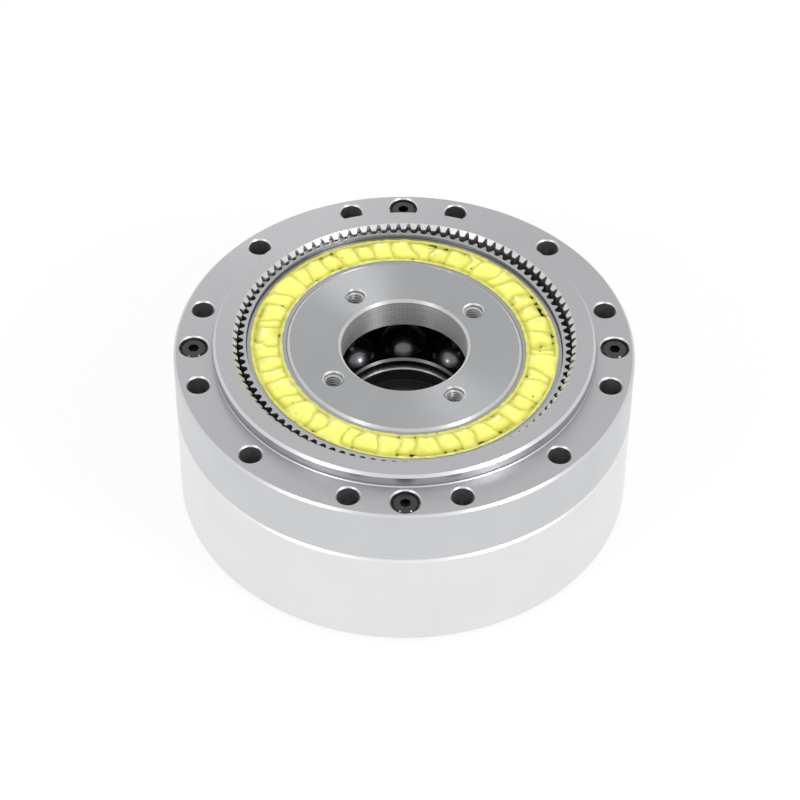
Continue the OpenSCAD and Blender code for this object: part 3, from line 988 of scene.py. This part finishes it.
@dataclass
class Output(SubAssembly):
    """The flexspline with its clamp and the output ring."""

    body: Body = Body.OUTPUT

    def build(self) -> None:
        """Dresses the output side."""
        self.keep("output_ring", Finish.TURNED)
        self.smooth("flexspline", Finish.TEETH)
        self.keep("clamp_ring", Finish.PAINTED_LIGHT)
        self.keep("clamp_bolts", Finish.BLACK_PAINTED_LIGHT)
        self.smooth("wave_bearing_outer_race", Finish.BEARING)


@dataclass
class RollerTrain(SubAssembly):
    """The crossed rollers and their spacers."""

    body: Body = Body.ROLLER_TRAIN

    def build(self) -> None:
        """Dresses the rollers."""
        self.keep("cross_rollers_rising", Finish.BEARING)
        self.keep("cross_rollers_falling", Finish.BEARING)
        self.keep("roller_spacers", Finish.NYLON)


@dataclass
class WaveGenerator(SubAssembly):
    """The oval plug with the inner race of its bearing."""

    body: Body = Body.WAVE_GENERATOR
    holes: int = 4
    hole_circle_mm: float = 26.0
    first_hole_deg: float = 35.0
    thread_mm: float = 3.0
    pitch_mm: float = 0.5
    thread_depth_mm: float = 0.29
    foot_share: float = 0.36
    crest_share: float = 0.15
    steps_per_turn: int = 24
    face_z_mm: float = 28.3
    thickness_mm: float = 5.4
    start_mm: float = 0.45
    bare_mm: float = 1.0

    def build(self) -> None:
        """Dresses the plug and its race, and cuts the threads."""
        self.smooth("wave_generator_plug", Finish.PLUG)
        self.smooth("wave_bearing_inner_race", Finish.BEARING)
        self.add(self.threads(), Finish.PLUG)

    def threads(self) -> bpy.types.Object:
        """Winds the thread ridges of the tapped holes.

        Returns:
            One object with a ridge in each hole.
        """
        mesh = bmesh.new()
        outer = self.thread_mm / 2 * MM
        inner = outer - self.thread_depth_mm * MM
        foot = self.pitch_mm * self.foot_share * MM
        crest = foot * self.crest_share
        bottom = (self.face_z_mm - self.thickness_mm + self.start_mm) * MM
        turns = (self.thickness_mm - self.bare_mm) / self.pitch_mm
        steps = int(turns * self.steps_per_turn)
        for i in range(self.holes):
            angle = math.radians(self.first_hole_deg + i * 360 / self.holes)
            centre = Vector((math.cos(angle), math.sin(angle), 0)) * self.hole_circle_mm / 2 * MM
            profile = [(outer, -foot), (inner, -crest), (inner, crest), (outer, foot)]
            verts = [mesh.verts.new(centre + Vector((r, 0, bottom + z))) for r, z in profile]
            edges = [mesh.edges.new(pair) for pair in zip(verts, verts[1:])]
            edges.append(mesh.edges.new((verts[-1], verts[0])))
            bmesh.ops.spin(
                mesh,
                geom=verts + edges,
                cent=centre,
                axis=(0, 0, 1),
                dvec=(0, 0, turns * self.pitch_mm * MM / steps),
                angle=turns * 2 * math.pi,
                steps=steps,
                use_merge=False,
            )
        bmesh.ops.holes_fill(mesh, edges=[e for e in mesh.edges if e.is_boundary])
        bmesh.ops.recalc_face_normals(mesh, faces=mesh.faces)
        return finish_mesh("input_threads", mesh, 40)


@dataclass(frozen=True)
class Heap:
    """One kind of heap in the grease.

    Attributes:
        reach: How far it goes across the ring, as a share of half the ring's width.
        crest: How high it is, as a share of the full height.
        row: The row of the noise that makes each heap a little different.
    """

    reach: float
    crest: float
    row: float


@dataclass
class BallSet(SubAssembly):
    """The balls in their cage under the grease."""

    body: Body = Body.BALL_SET
    wave: Wave = field(default_factory=Wave)
    lumps: int = 23
    path_mm: float = 21.185
    half_width_mm: float = 2.45
    race_top_mm: float = 28.05
    seat_mm: float = 0.02
    film_mm: float = 0.2
    lump_mm: float = 0.75
    sunk_share: float = 0.25
    section_points: int = 44
    steps_per_lump: int = 30
    # A big heap over each ball and a small one beside it.
    big: Heap = Heap(reach=0.78, crest=1.0, row=5.3)
    small: Heap = Heap(reach=0.68, crest=0.75, row=1.0)
    big_share: float = 0.58
    share_play: float = 0.25
    reach_play: float = 0.3
    crest_play: float = 0.5
    lean: float = 0.2
    warp: float = 0.25
    warp_waves: float = 9.0
    warp_slant: float = 0.7
    edge_play: float = 0.08
    edge_waves: float = 14.0
    ripple_grain_mm: float = 0.9
    ripple_out_mm: float = 0.12
    ripple_up_mm: float = 0.1
    crease_level: float = 0.55
    crease_shade_gain: float = 1.6
    rim_across: float = 0.8
    rim_shade_gain: float = 0.35
    dip_shade_gain: float = 0.2

    def build(self) -> None:
        """Dresses the balls and lays the grease over them."""
        self.keep("ball_cage", Finish.NYLON)
        self.keep("wave_bearing_balls", Finish.BEARING)
        self.add(self.grease(), Finish.GREASE, "bearing_grease")

    def grease(self) -> bpy.types.Object:
        """Models the ring of grease: a film over both races, heaped over every ball.

        Returns:
            The grease object.
        """
        mesh = bmesh.new()
        section = bmesh.ops.create_circle(
            mesh,
            cap_ends=False,
            segments=self.section_points,
            radius=1.0 * MM,
            matrix=Matrix.Translation((self.path_mm * MM, 0, 0))
            @ Matrix.Rotation(math.pi / 2, 4, "X"),
        )
        edges = list({e for v in section["verts"] for e in v.link_edges})
        bmesh.ops.spin(
            mesh,
            geom=section["verts"] + edges,
            cent=(0, 0, 0),
            axis=(0, 0, 1),
            angle=2 * math.pi,
            steps=self.lumps * self.steps_per_lump,
            use_merge=True,
        )
        bmesh.ops.remove_doubles(mesh, verts=mesh.verts, dist=WELD_MM / 10 * MM)
        bmesh.ops.recalc_face_normals(mesh, faces=mesh.faces)
        layer = mesh.verts.layers.float.new(CREASE_SHADE_LAYER)
        for vert in mesh.verts:
            self.heap(vert, layer)
        return finish_mesh("grease_ring", mesh, 180)

    def swell(self, angle: float, across: float) -> float:
        """Says how far the grease swells at a place.

        Args:
            angle: Round the axis, in radians.
            across: From -1 at the inner edge to 1 at the outer.

        Returns:
            A share from 0 in a crease to 1 on the crest of a heap.
        """
        around = Vector((math.cos(angle), math.sin(angle), 0.0))
        slanted = around * self.warp_waves + Vector((0, 0, across * self.warp_slant))
        step = 2 * math.pi / self.lumps
        turn = angle / step + self.warp * noise.noise(slanted) + self.lumps
        phase = turn % 1.0
        # Each ball reads its own row of the noise, so that no two heaps are alike.
        ball = int(turn) % self.lumps * 1.7
        share = self.big_share + self.share_play * noise.noise(Vector((ball, 3.0, 2.0)))
        if phase < share:
            kind, along = self.big, phase / share
        else:
            kind, along = self.small, (phase - share) / (1.0 - share)
        own = noise.noise(Vector((ball, 8.0, kind.row)))
        edge = self.edge_play * noise.noise(around * self.edge_waves)
        reach = kind.reach + self.reach_play * own + edge
        inside = max(0.0, 1.0 - ((across - self.lean * own) / reach) ** 2)
        crest = kind.crest + self.crest_play * own
        return abs(math.sin(math.pi * along)) ** 0.5 * inside**0.5 * crest

    def heap(self, vert: bmesh.types.BMVert, layer: bmesh.types.BMLayerItem) -> None:
        """Moves one point of the plain ring to its place in the heaped grease.

        Args:
            vert: The point, on a torus of 1 mm.
            layer: The layer that keeps how deep in a crease it lies, for the painted shade in the
                folds.
        """
        radius = math.hypot(vert.co.x, vert.co.y)
        angle = math.atan2(vert.co.y, vert.co.x)
        across = radius / MM - self.path_mm
        up = vert.co.z / MM
        swell = self.swell(angle, across)
        ripple = noise.noise(Vector((vert.co.x, vert.co.y, 0)) / (self.ripple_grain_mm * MM))
        place = self.path_mm + across * (self.half_width_mm + self.ripple_out_mm * ripple)
        seat = self.race_top_mm + self.seat_mm
        z = seat
        if up > 0:
            shoulder = min(1.0, up * 3)
            lump = self.lump_mm * (swell - self.sunk_share) * (1 - across**8)
            z = self.race_top_mm + self.film_mm * shoulder + lump
            z += self.ripple_up_mm * ripple * shoulder
        flat = Vector((math.cos(angle), math.sin(angle), 0.0)) * place * MM
        vert.co = self.wave.bend(flat + Vector((0, 0, max(z, seat) * MM)))
        # Painted shade: creases and the dips of the ripples get a darker share, less of it at the
        # rims.
        gain = 1.0 if abs(across) < self.rim_across else self.rim_shade_gain
        crease = gain * max(0.0, self.crease_level - swell) * self.crease_shade_gain
        vert[layer] = crease + self.dip_shade_gain * max(0.0, -ripple)


# ---- The whole unit --------------------------------------------------------------------


def main() -> None:
    """Builds the whole unit."""
    logging.basicConfig(level=logging.INFO, format="%(message)s")
    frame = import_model()
    bpy.context.scene.view_settings.view_transform = "Standard"
    Viewpoint().build()
    Studio().build()
    nodes = frame["nodes"]
    for group in (Housing, Output, RollerTrain, WaveGenerator, BallSet):
        group(nodes).build()


if __name__ == "__main__":
    main()
